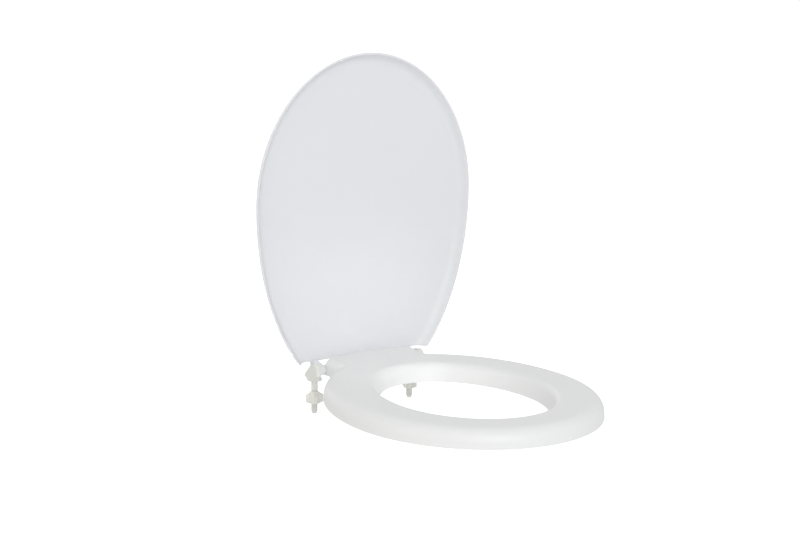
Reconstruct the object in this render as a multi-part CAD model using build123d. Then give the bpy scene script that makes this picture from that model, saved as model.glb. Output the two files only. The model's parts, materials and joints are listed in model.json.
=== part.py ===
from build123d import *
import os
from math import cos, radians, sin, sqrt

# Toilet seat with raised lid. Origin midway between the two fixing bolts, on top of the bowl.
# X runs across the seat, +Y to the back and +Z up. All sizes in millimetres.

# fixing bolts and pin axis
bolt_spacing = 162.0
pin_ahead = 12.0
pin_height = 16.5
pin_diameter = 8.0
turning_clearance = 0.08
side_clearance = 0.4
cut_past = 2.0

# seat ring, outline at its lower edge
ring_back = 31.0
ring_half_width = 176.4
ring_front_reach = 192.5
ring_rear_reach = 221.0
ring_bottom = 8.5
ring_top = 33.0
ring_lean = 2.0
ring_lean_rear = 0.5
ring_wall = 3.0
ring_shoulder = 18.0
ring_inner_round = 12.0

# opening of the ring, set by the ring's breadth around it
ring_side_breadth = 74.4
ring_front_breadth = 68.6
ring_rear_breadth = 77.8
hole_ahead = 0.6
hole_lean = 8.3

# tongue at the back of the ring, between the hinges
tongue_past_pin = 15.5
tongue_bow = 13.0
tongue_bottom = 13.0
tongue_corner = 15.0
tongue_shoulder = 11.0
tongue_blend = 12.0
tongue_root = 42.0

# ribs under the ring
rib_count = 16
rib_thickness = 2.0
rib_bottom = 13.0
rib_share = 0.5

# bumpers under the ring
bumper_radius = 10.0
bumper_taper = 1.5
bumper_round = 1.2
bumper_stem_radius = 3.5
bumper_stem_length = 12.0
bumper_boss_radius = 8.0
bumper_boss_bottom = 10.0
bumper_front_angle = 48.0
bumper_rear_angle = 52.0

# lid, outline at its lip, set by the ring that it covers
lid_side_overlap = 1.1
lid_front_overlap = 8.5
lid_widest_behind = 5.0
lid_rear_fullness = 66.0
lid_rear_edge = 9.2
lid_gap = 2.0
lid_depth = 11.2
lid_wall = 2.6
lid_outer_lean = 6.0
lid_inner_lean = 7.5
lid_outer_round = 11.0
lid_inner_round = 11.0
lid_raised_angle = 90.0

# hinge lugs of ring and lid
lug_radius = 7.0
lug_width = 9.4
ring_lug_end_radius = 6.0
lid_lug_crown_radius = 4.0
lid_lug_overlap = 1.8

# hinge posts
foot_radius = 10.5
foot_thickness = 4.0
arm_thickness = 8.0
arm_head_radius = 10.5
arm_heel_back = 11.3
arm_heel_height = 6.8
arm_heel_radius = 2.0
arm_toe = 7.0
arm_round = 1.2
pin_socket_depth = 5.5
pin_blind_wall = 1.6
pin_end_gap = 0.4
pin_chamfer = 0.6

# bolts of the posts
neck_radius = 4.7
neck_length = 14.0
thread_core_radius = 4.1
thread_major_radius = 4.6
bolt_length = 48.5
bolt_tip_length = 3.0
bolt_tip_radius = 2.6

# wing nuts
nut_top = 16.2
nut_height = 17.3
nut_hub_radius = 7.2
nut_collar_radius = 6.0
nut_span_radius = 12.5
nut_wing_thickness = 4.0
nut_shoulder = 5.0
nut_wing_foot = 2.0
nut_wing_root = 0.5
nut_wing_top = 1.0
nut_wing_count = 4
nut_wing_turn = 20.0
nut_clearance = 0.1
nut_round = 0.9

# values that follow from the ones above
bolt_x = bolt_spacing / 2
pin_radius = pin_diameter / 2
pin_y = -pin_ahead
pin_axis = Axis((0, pin_y, pin_height), (1, 0, 0))
pin_place = Pos(pin_y, pin_height)
standing = (Align.CENTER, Align.CENTER, Align.MIN)
arm_outer = bolt_x + foot_radius
arm_inner = arm_outer - arm_thickness
lid_lug_outer = arm_inner - side_clearance
lid_lug_inner = lid_lug_outer - lug_width
ring_lug_outer = lid_lug_inner - side_clearance
ring_lug_inner = ring_lug_outer - lug_width
ring_height = ring_top - ring_bottom
ring_centre = ring_back + ring_rear_reach
hole_half_width = ring_half_width - ring_side_breadth
hole_centre = ring_centre + hole_ahead
hole_front_reach = ring_front_reach - ring_front_breadth - hole_ahead
hole_rear_reach = ring_rear_reach - ring_rear_breadth + hole_ahead
tongue_half_width = ring_lug_outer
tongue_back = pin_y + tongue_past_pin
tongue_front = -ring_back - tongue_root
lid_half_width = ring_half_width + lid_side_overlap
lid_centre = ring_centre - lid_widest_behind - pin_ahead
lid_front_reach = ring_front_reach + lid_front_overlap + lid_widest_behind
lid_rear_reach = ring_rear_reach + lid_rear_fullness
lid_inside = ring_top + lid_gap - pin_height
lid_lip = lid_inside - lid_depth
lid_outside = lid_inside + lid_wall


def egg(half_width, centre, front_reach, rear_reach, height):
    # two half ellipses that meet at the widest place
    rear = EllipticalCenterArc((0, -centre), half_width, rear_reach, start_angle=0, arc_size=180)
    front = EllipticalCenterArc((0, -centre), half_width, front_reach, start_angle=180, arc_size=180)
    return Pos(0, 0, height) * make_face([rear, front])


def ring_outline(height, inset):
    # the outer wall leans inwards as it rises, less so at the back
    share = (height - ring_bottom) / ring_height
    side = share * ring_lean + inset
    rear = share * ring_lean_rear + inset
    return egg(ring_half_width - side, ring_centre, ring_front_reach - side, ring_rear_reach - rear, height)


def hole_outline(height, outset):
    # the inner wall leans outwards as it rises
    grow = (height - ring_bottom) / ring_height * hole_lean + outset
    return egg(
        hole_half_width + grow,
        hole_centre,
        hole_front_reach + grow,
        hole_rear_reach + grow,
        height,
    )


def tongue_block(bottom, top, inset, edge_round):
    # a bowed back between two straight sides, with its corners and its upper edge rounded
    half = tongue_half_width - inset
    back = tongue_back - inset
    rear = ThreePointArc((-half, back - tongue_bow), (0, back), (half, back - tongue_bow))
    rest = Polyline(
        (half, back - tongue_bow),
        (half, tongue_front),
        (-half, tongue_front),
        (-half, back - tongue_bow),
    )
    block = extrude(Pos(0, 0, bottom) * make_face([rear, rest]), top - bottom)
    corners = block.edges().filter_by(Axis.Z).sort_by(Axis.Y)[-2:]
    block = fillet(corners, tongue_corner - inset)
    rim = top_edges(block).sort_by(Axis.Y)[1:]
    return fillet(rim, edge_round)


def lid_outline(height, inset):
    return egg(
        lid_half_width - inset,
        pin_ahead + lid_centre,
        lid_front_reach - inset,
        lid_rear_reach - inset,
        pin_height + height,
    )


def top_edges(solid):
    return solid.faces().sort_by(Axis.Z)[-1].edges()


def across(profile, inner, outer):
    # a side profile, drawn in Y and Z, run across from one width to the other
    return extrude(Plane.YZ.offset(inner) * profile, outer - inner)


def bumper_place(angle, side):
    # on the middle line between the ring's outer edge and its opening
    across_reach = (ring_half_width + hole_half_width) / 2
    reach = ring_front_reach + hole_front_reach
    if sin(radians(angle)) > 0:
        reach = ring_rear_reach + hole_rear_reach
    return side * across_reach * cos(radians(angle)), -ring_centre + reach / 2 * sin(radians(angle))


# seat ring: leaning outer wall, rounded shoulder and leaning opening
outer = loft([ring_outline(ring_bottom, 0), ring_outline(ring_top, 0)])
outer = fillet(top_edges(outer), ring_shoulder)
hole = loft([hole_outline(ring_bottom - cut_past, 0), hole_outline(ring_top + cut_past, 0)])
body = outer - hole
inner_rim = body.faces().sort_by(Axis.Z)[-1].inner_wires()[0].edges()
body = fillet(inner_rim, ring_inner_round)

# tongue, blended into the ring along the crease above its lower edge
tongue = tongue_block(tongue_bottom, ring_top, 0, tongue_shoulder)
joined = body + tongue
crease = new_edges(body, tongue, combined=joined)
crease = crease.filter_by_position(Axis.Z, tongue_bottom, ring_top, (False, True))
body = fillet(crease, tongue_blend)

# space under the ring and its tongue, one wall thickness inside them
ceiling = ring_top - ring_wall
space = loft([ring_outline(ring_bottom - cut_past, ring_wall), ring_outline(ceiling, ring_wall)])
space = fillet(top_edges(space), ring_shoulder - ring_wall)
space -= loft([hole_outline(ring_bottom - 2 * cut_past, ring_wall), hole_outline(ring_top, ring_wall)])
inner_rim = space.faces().sort_by(Axis.Z)[-1].inner_wires()[0].edges()
ring_space = fillet(inner_rim, ring_inner_round - ring_wall)
space = ring_space + tongue_block(tongue_bottom, ceiling, ring_wall, tongue_shoulder - ring_wall)

# ribs left standing in that space: one along the ring and a set across it
rib_height = ring_top - rib_bottom
middle = []
for offset in (rib_thickness / 2, -rib_thickness / 2):
    line = egg(
        hole_half_width + (ring_half_width - hole_half_width) * rib_share + offset,
        ring_centre,
        hole_front_reach + (ring_front_reach - hole_front_reach) * rib_share + offset,
        hole_rear_reach + (ring_rear_reach - hole_rear_reach) * rib_share + offset,
        rib_bottom,
    )
    middle.append(extrude(line, rib_height))
ribs = middle[0] - middle[1]
rib_length = ring_front_reach + ring_rear_reach
for k in range(rib_count // 2):
    turn = 360 / rib_count * (k + 0.5)
    rib = Box(rib_length * 2, rib_thickness, rib_height, align=standing)
    ribs += Pos(0, -hole_centre, rib_bottom) * Rot(0, 0, turn) * rib

# bosses that take the bumpers' stems
bumper_places = {
    "front_left": bumper_place(-bumper_front_angle, -1),
    "front_right": bumper_place(-bumper_front_angle, 1),
    "rear_left": bumper_place(bumper_rear_angle, -1),
    "rear_right": bumper_place(bumper_rear_angle, 1),
}
boss_height = ring_top - bumper_boss_bottom
for x, y in bumper_places.values():
    boss = Cylinder(bumper_boss_radius, boss_height, align=standing)
    ribs += Pos(x, y, bumper_boss_bottom) * boss
seat_ring = body - (space - ribs)
for x, y in bumper_places.values():
    stem_hole = Cylinder(bumper_stem_radius, bumper_stem_length, align=standing)
    seat_ring -= Pos(x, y, bumper_boss_bottom) * stem_hole

# hinge lugs inside the sides of the tongue, level below, from the ring's back wall to the pin axis
back_wall = -ring_centre + ring_rear_reach * sqrt(1 - (ring_lug_outer / ring_half_width) ** 2)
lug_end = Pos(back_wall - ring_wall, pin_height - lug_radius + ring_lug_end_radius)
lug_profile = make_hull(
    [
        *(pin_place * Circle(lug_radius)).edges(),
        *(lug_end * Circle(ring_lug_end_radius)).edges(),
    ]
)
lug = across(lug_profile, ring_lug_inner, ring_lug_outer) - ring_space
seat_ring = seat_ring + lug + mirror(lug, Plane.YZ)

# blind bores for the hinge pins, through the sides of the tongue into the lugs
blind_end = ring_lug_inner + pin_blind_wall
bore_profile = pin_place * Circle(pin_radius + turning_clearance)
bore = across(bore_profile, blind_end, arm_outer)
seat_ring -= bore
seat_ring -= mirror(bore, Plane.YZ)

# lid, modelled closed: a shallow dish with a wide soft cove inside its rim
cover = loft([lid_outline(lid_lip, 0), lid_outline(lid_outside, lid_outer_lean)])
cover = fillet(top_edges(cover), lid_outer_round)
lip_share = 1 + cut_past / lid_depth
dish = loft(
    [
        lid_outline(lid_lip - cut_past, lid_wall + lid_inner_lean * (1 - lip_share)),
        lid_outline(lid_inside, lid_wall + lid_inner_lean),
    ]
)
dish = fillet(top_edges(dish), lid_inner_round)
lid = cover - dish
behind = Box(
    4 * lid_half_width,
    lid_rear_reach,
    4 * lid_outside,
    align=(Align.CENTER, Align.MIN, Align.CENTER),
)
lid -= Pos(0, pin_y - lid_rear_edge, pin_height) * behind

# hinge lugs of the lid, each a link from the pin axis up to the lid's rear edge
crown_y = pin_y - lid_rear_edge - lid_lug_overlap + lid_lug_crown_radius
crown_z = pin_height + lid_outside - lid_lug_crown_radius
link_profile = make_hull(
    [
        *(pin_place * Circle(lug_radius)).edges(),
        *(Pos(crown_y, crown_z) * Circle(lid_lug_crown_radius)).edges(),
    ]
)
lug = across(link_profile, lid_lug_inner, lid_lug_outer)
lug -= across(bore_profile, lid_lug_inner - cut_past, lid_lug_outer + cut_past)
lid = lid + lug + mirror(lug, Plane.YZ)
lid = lid.rotate(pin_axis, -lid_raised_angle)

# hinge post: round foot, wedge arm on its outer side and bolt below
arm_profile = make_hull(
    [
        *(pin_place * Circle(arm_head_radius)).edges(),
        *(Pos(arm_heel_back - arm_heel_radius, arm_heel_height) * Circle(arm_heel_radius)).edges(),
        Line((-arm_toe, 0), (0, 0)),
    ]
)
arm = across(arm_profile, arm_inner, arm_outer)
outer_side = arm.faces().sort_by(Axis.X)[-1].edges()
arm = fillet(outer_side, arm_round)
foot = Pos(bolt_x, 0, 0) * Cylinder(foot_radius, foot_thickness, align=standing)
foot = fillet(foot.edges().sort_by(Axis.Z)[-1], arm_round)
bolt_half = make_face(
    Polyline(
        (0, foot_thickness / 2),
        (neck_radius, foot_thickness / 2),
        (neck_radius, -neck_length),
        (thread_core_radius, -neck_length),
        (thread_core_radius, -bolt_length + bolt_tip_length),
        (bolt_tip_radius, -bolt_length),
        (0, -bolt_length),
        close=True,
    )
)
bolt = Pos(bolt_x, 0, 0) * revolve(Plane.XZ * bolt_half, Axis.Z)
post = arm + foot + bolt
pin_profile = pin_place * Circle(pin_radius)
post -= across(pin_profile, arm_inner - cut_past, arm_inner + pin_socket_depth)

# hinge pin, pressed into the post's arm and ending inside the ring's lug
pin = across(pin_profile, blind_end + pin_end_gap, arm_inner + pin_socket_depth)
pin = chamfer(pin.edges().filter_by(GeomType.CIRCLE), pin_chamfer)

# wing nut: turned hub with a collar on top and four wings with sloping shoulders
hub_half = make_face(
    Polyline(
        (thread_major_radius + nut_clearance, 0),
        (nut_collar_radius, 0),
        (nut_hub_radius, -nut_shoulder),
        (nut_hub_radius, -nut_height),
        (thread_major_radius + nut_clearance, -nut_height),
        close=True,
    )
)
hub = revolve(Plane.XZ * hub_half, Axis.Z)
wing_side = make_face(
    Polyline(
        (nut_collar_radius - nut_wing_root, -nut_wing_top),
        (nut_span_radius, -nut_shoulder),
        (nut_span_radius, -nut_height + nut_wing_foot),
        (nut_hub_radius - nut_wing_root, -nut_height),
        (nut_collar_radius - nut_wing_root, -nut_height),
        close=True,
    )
)
wing = extrude(Plane.XZ * wing_side, nut_wing_thickness / 2, both=True)
tips = wing.faces().sort_by(Axis.X)[-1].edges()
wing = fillet(tips, nut_round)
nut = hub
for k in range(nut_wing_count):
    nut += Rot(0, 0, 360 / nut_wing_count * k + nut_wing_turn) * wing
nut = Pos(bolt_x, 0, -nut_top) * nut

# soft bumper: tapered pad with a stem that plugs into the ring
pad_height = bumper_boss_bottom
pad = Cone(
    bumper_radius - bumper_taper,
    bumper_radius,
    pad_height,
    align=standing,
)
pad = fillet(pad.edges().sort_by(Axis.Z)[0], bumper_round)
stem = Cylinder(bumper_stem_radius, bumper_stem_length, align=standing)
bumper = pad + Pos(0, 0, pad_height) * stem

# one file for each piece
os.makedirs("parts", exist_ok=True)
pieces = {
    "seat_ring": seat_ring,
    "lid": lid,
    "hinge_post_left": mirror(post, Plane.YZ),
    "hinge_post_right": post,
    "hinge_pin_left": mirror(pin, Plane.YZ),
    "hinge_pin_right": pin,
    "wing_nut_left": mirror(nut, Plane.YZ),
    "wing_nut_right": nut,
}
for place, (x, y) in bumper_places.items():
    pieces["bumper_" + place] = Pos(x, y, 0) * bumper
for name, piece in pieces.items():
    export_step(piece, "parts/" + name + ".step")
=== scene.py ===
import json
import math

import bmesh
import bpy
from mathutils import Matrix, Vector


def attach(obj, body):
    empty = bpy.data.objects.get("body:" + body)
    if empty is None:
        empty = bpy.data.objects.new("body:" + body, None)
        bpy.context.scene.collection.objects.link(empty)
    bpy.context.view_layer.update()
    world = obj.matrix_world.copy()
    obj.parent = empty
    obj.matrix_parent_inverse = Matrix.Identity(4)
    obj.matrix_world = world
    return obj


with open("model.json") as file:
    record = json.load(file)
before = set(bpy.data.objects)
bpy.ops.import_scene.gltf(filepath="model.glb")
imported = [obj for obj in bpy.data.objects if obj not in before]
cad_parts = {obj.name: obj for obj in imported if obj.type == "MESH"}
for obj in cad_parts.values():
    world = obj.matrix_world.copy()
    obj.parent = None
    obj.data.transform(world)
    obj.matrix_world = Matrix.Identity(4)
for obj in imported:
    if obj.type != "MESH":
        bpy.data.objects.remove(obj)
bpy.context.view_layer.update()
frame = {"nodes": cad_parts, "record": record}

# Seat ring. One injection moulding in white thermoplastic with a polished top, hollow and ribbed
# below. Its skin has the faint flow clouds, uneven gloss and shallow ripple of a large moulding.
plastic_ior = 1.49
cloud_scale = 7.0
cloud_detail = 3.0
cloud_edges = (0.3, 0.7)
rubbing_scale = 42.0
rubbing_detail = 5.0
rubbed_glossier = 0.05
rubbed_duller = 0.07
ripple_scale = 55.0
ripple_detail = 2.0
ripple_strength = 0.03
ripple_height = 0.0004


def polished_plastic(name, colour, cloud_colour, roughness):
    made = bpy.data.materials.new(name)
    made.use_nodes = True
    nodes = made.node_tree.nodes
    links = made.node_tree.links
    shader = nodes["Principled BSDF"]
    shader.inputs["IOR"].default_value = plastic_ior
    place = nodes.new("ShaderNodeTexCoord")

    def unevenness(scale, detail):
        noise = nodes.new("ShaderNodeTexNoise")
        noise.inputs["Scale"].default_value = scale
        noise.inputs["Detail"].default_value = detail
        links.new(place.outputs["Object"], noise.inputs["Vector"])
        return noise.outputs["Fac"]

    tint = nodes.new("ShaderNodeValToRGB")
    for stop, edge, tone in zip(tint.color_ramp.elements, cloud_edges, (cloud_colour, colour)):
        stop.position = edge
        stop.color = (*tone, 1)
    links.new(unevenness(cloud_scale, cloud_detail), tint.inputs["Fac"])
    links.new(tint.outputs["Color"], shader.inputs["Base Color"])

    gloss = nodes.new("ShaderNodeMapRange")
    gloss.inputs["To Min"].default_value = roughness - rubbed_glossier
    gloss.inputs["To Max"].default_value = roughness + rubbed_duller
    links.new(unevenness(rubbing_scale, rubbing_detail), gloss.inputs["Value"])
    links.new(gloss.outputs["Result"], shader.inputs["Roughness"])

    skin = nodes.new("ShaderNodeBump")
    skin.inputs["Strength"].default_value = ripple_strength
    skin.inputs["Distance"].default_value = ripple_height
    links.new(unevenness(ripple_scale, ripple_detail), skin.inputs["Height"])
    links.new(skin.outputs["Normal"], shader.inputs["Normal"])
    return made


def finish_nodes(names, material):
    for name in names:
        mesh = frame["nodes"][name].data
        mesh.materials.clear()
        mesh.materials.append(material)


ring_white = polished_plastic(
    "seat_ring_white",
    colour=(0.755, 0.76, 0.757),
    cloud_colour=(0.745, 0.75, 0.747),
    roughness=0.4,
)
finish_nodes(["seat_ring"], ring_white)

# Bumpers. Four soft pads plugged into bosses under the ring, moulded in a matte elastomer
# that is a little greyer than the ring.
bumper_names = [name for name in frame["nodes"] if name.startswith("bumper_")]
pad_grey = polished_plastic(
    "bumper_pad",
    colour=(0.62, 0.63, 0.62),
    cloud_colour=(0.58, 0.59, 0.58),
    roughness=0.6,
)
finish_nodes(bumper_names, pad_grey)

# Lid. A thin dished moulding with a soft cove inside its rim, from the same plastic as the ring,
# a little cooler in colour and satin on both faces.
lid_white = polished_plastic(
    "lid_white",
    colour=(0.714, 0.721, 0.742),
    cloud_colour=(0.704, 0.711, 0.732),
    roughness=0.42,
)
finish_nodes(["lid"], lid_white)

# Hinge posts and pins. Separate small mouldings in natural white plastic, satin from the mould
# and a little warmer than the seat. The posts' bolts are moulded on, and the pins are pressed in.
hinge_names = ["hinge_post_left", "hinge_post_right", "hinge_pin_left", "hinge_pin_right"]
hinge_white = polished_plastic(
    "hinge_white",
    colour=(0.70, 0.705, 0.67),
    cloud_colour=(0.67, 0.675, 0.64),
    roughness=0.38,
)
finish_nodes(hinge_names, hinge_white)

# Wing nuts. Loose mouldings in the same natural plastic, painted a little paler than the posts as
# painted light that lifts the shade under the ring. They are run up the bolts from below, by four
# wings that fingers can turn.
nut_painted_paler = polished_plastic(
    "nut_painted_paler",
    # painted light: a lighter copy of the post plastic, to offset the shade under the ring
    colour=(0.78, 0.78, 0.735),
    cloud_colour=(0.74, 0.74, 0.69),
    roughness=0.42,
)
finish_nodes(["wing_nut_left", "wing_nut_right"], nut_painted_paler)

# Bolt threads. A coarse ridge with a narrow flat crest, which winds down each bolt below its
# plain neck. It is moulded with the bolt, and the wing nut runs on it.
scene = bpy.context.scene
millimetre = 0.001
bolt_pair = next(mount for mount in frame["record"]["mounts"] if mount["name"] == "bolt_pair")
bolt_x = bolt_pair["dims"]["spacing_x_mm"] * millimetre / 2
thread_core = 0.00405
thread_crest = 0.0046
thread_pitch = 0.002
thread_top = -0.0148
thread_turns = 15
root_half = 0.36 * thread_pitch
crest_half = 0.12 * thread_pitch
steps_per_turn = 36
merge_distance = 1e-6
for side, x in (("left", -bolt_x), ("right", bolt_x)):
    ridge = bmesh.new()
    corners = [
        ridge.verts.new((thread_core, 0, thread_top + root_half)),
        ridge.verts.new((thread_crest, 0, thread_top + crest_half)),
        ridge.verts.new((thread_crest, 0, thread_top - crest_half)),
        ridge.verts.new((thread_core, 0, thread_top - root_half)),
    ]
    start = ridge.faces.new(corners)
    bmesh.ops.spin(
        ridge,
        geom=[start],
        cent=(0, 0, 0),
        axis=(0, 0, 1),
        dvec=(0, 0, -thread_pitch / steps_per_turn),
        angle=2 * math.pi * thread_turns,
        steps=thread_turns * steps_per_turn,
    )
    bmesh.ops.remove_doubles(ridge, verts=ridge.verts, dist=merge_distance)
    bmesh.ops.recalc_face_normals(ridge, faces=ridge.faces)
    bmesh.ops.translate(ridge, verts=ridge.verts, vec=(x, 0, 0))
    thread_mesh = bpy.data.meshes.new("bolt_thread_" + side)
    ridge.to_mesh(thread_mesh)
    ridge.free()
    thread_mesh.materials.append(hinge_white)
    thread = bpy.data.objects.new("bolt_thread_" + side, thread_mesh)
    scene.collection.objects.link(thread)
    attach(thread, "hinge_posts")

# Floor. A wide pale sheet well below the part, which is held up by its bolts. It glows evenly, so
# that the background stays white from any side, and the glow throws no light on the part.
floor_height = -0.35
floor_half = 40.0
floor_colour = (0.93, 0.93, 0.93, 1)
floor_roughness = 0.9
floor_glow = 0.4
plain_white = (1.0, 1.0, 1.0)


def strength_by_sight(tree, socket, unseen, seen):
    sight = tree.nodes.new("ShaderNodeLightPath")
    strength = tree.nodes.new("ShaderNodeMapRange")
    strength.inputs["To Min"].default_value = unseen
    strength.inputs["To Max"].default_value = seen
    tree.links.new(sight.outputs["Is Camera Ray"], strength.inputs["Value"])
    tree.links.new(strength.outputs["Result"], socket)


sheet = bmesh.new()
bmesh.ops.create_grid(sheet, x_segments=1, y_segments=1, size=floor_half)
bmesh.ops.translate(sheet, verts=sheet.verts, vec=(0, 0, floor_height))
floor_mesh = bpy.data.meshes.new("floor")
sheet.to_mesh(floor_mesh)
sheet.free()
floor_white = bpy.data.materials.new("floor_white")
floor_white.use_nodes = True
floor_shader = floor_white.node_tree.nodes["Principled BSDF"]
floor_shader.inputs["Base Color"].default_value = floor_colour
floor_shader.inputs["Roughness"].default_value = floor_roughness
floor_shader.inputs["Specular IOR Level"].default_value = 0.0
floor_shader.inputs["Emission Color"].default_value = (*plain_white, 1)
floor_emission = floor_shader.inputs["Emission Strength"]
strength_by_sight(floor_white.node_tree, floor_emission, unseen=0.0, seen=floor_glow)
floor_mesh.materials.append(floor_white)
floor = bpy.data.objects.new("floor", floor_mesh)
scene.collection.objects.link(floor)

# Light. An even white room, one large soft box from the front left, a weaker warm one from the
# left and another low behind on the right, which keeps the back of the lid white. A small narrow
# beam from the front lifts the shade where lid and ring meet.
room_strength = 0.77
room_seen_strength = 1.0
key_white = (0.975, 0.98, 1.0)
fill_white = (1.0, 0.97, 0.8)
seat_middle = (0, -0.2, 0.15)
lid_foot = (0, -0.01, 0.05)
scene.view_settings.view_transform = "Standard"
room = bpy.data.worlds.new("room")
scene.world = room
room.use_nodes = True
background = room.node_tree.nodes["Background"]
background.inputs["Color"].default_value = (*plain_white, 1)
strength_by_sight(room.node_tree, background.inputs["Strength"], room_strength, room_seen_strength)


def soft_box(name, place, target, width, power, colour, spread_degrees=180):
    lamp = bpy.data.lights.new(name, "AREA")
    lamp.shape = "SQUARE"
    lamp.size = width
    lamp.energy = power
    lamp.color = colour
    lamp.spread = math.radians(spread_degrees)
    box = bpy.data.objects.new(name, lamp)
    box.location = place
    aim = Vector(target) - Vector(place)
    box.rotation_euler = aim.to_track_quat("-Z", "Y").to_euler()
    scene.collection.objects.link(box)


soft_box("key", (-0.9, -3.1, 1.7), seat_middle, width=2.2, power=38, colour=key_white)
soft_box("fill", (-3.0, -0.6, 1.2), seat_middle, width=2.2, power=6.5, colour=fill_white)
soft_box("back", (0.8, 3.2, 0.9), seat_middle, width=2.2, power=14, colour=plain_white)
soft_box(
    "beam",
    (-0.45, -1.5, 0.8),
    lid_foot,
    width=0.12,
    power=0.032,
    colour=plain_white,
    spread_degrees=14,
)

# Camera. A long lens nearly 3 m from the seat, to its front left and a little above it, at the
# photograph's angle.
sensor_mm = 36
focal_mm = 91.324
camera_place = (-1.5380, -2.3491, 0.7512)
camera_turn_degrees = (78.0172, -0.8221, -34.0798)
lens = bpy.data.cameras.new("camera")
lens.sensor_width = sensor_mm
lens.lens = focal_mm
camera = bpy.data.objects.new("camera", lens)
camera.location = camera_place
camera.rotation_euler = [math.radians(angle) for angle in camera_turn_degrees]
scene.collection.objects.link(camera)
scene.camera = camera

bpy.context.view_layer.update()
